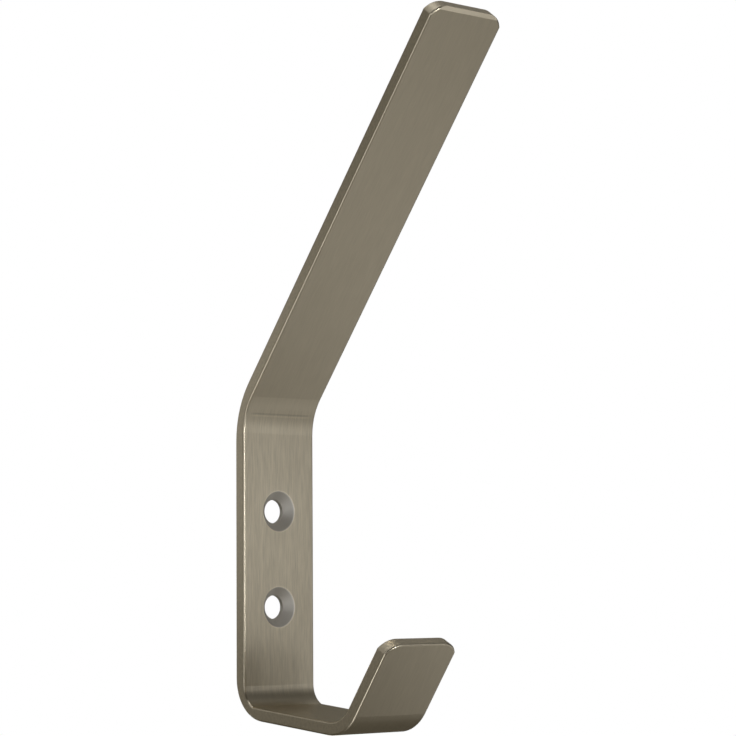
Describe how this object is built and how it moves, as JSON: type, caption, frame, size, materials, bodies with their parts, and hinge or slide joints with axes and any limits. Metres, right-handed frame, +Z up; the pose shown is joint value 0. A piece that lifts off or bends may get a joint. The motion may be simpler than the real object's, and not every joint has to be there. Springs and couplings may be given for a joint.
{
  "type": "double robe hook",
  "caption": "Wall hook bent from one flat metal bar: a long arm leaning out and up, a screw plate, and a short upturned lip below.",
  "frame": {"origin": "on the wall face, midway between the two screw holes", "axes": "+Y into the wall, so that the arms reach out towards -Y; +Z up; +X across the bar"},
  "size_m": [0.02, 0.0643, 0.1502],
  "materials": {
    "satin_nickel": "satin nickel, brushed along the bar"
  },
  "bodies": {
    "root": {"hook_bar": "satin_nickel"}
  },
  "joints": []
}
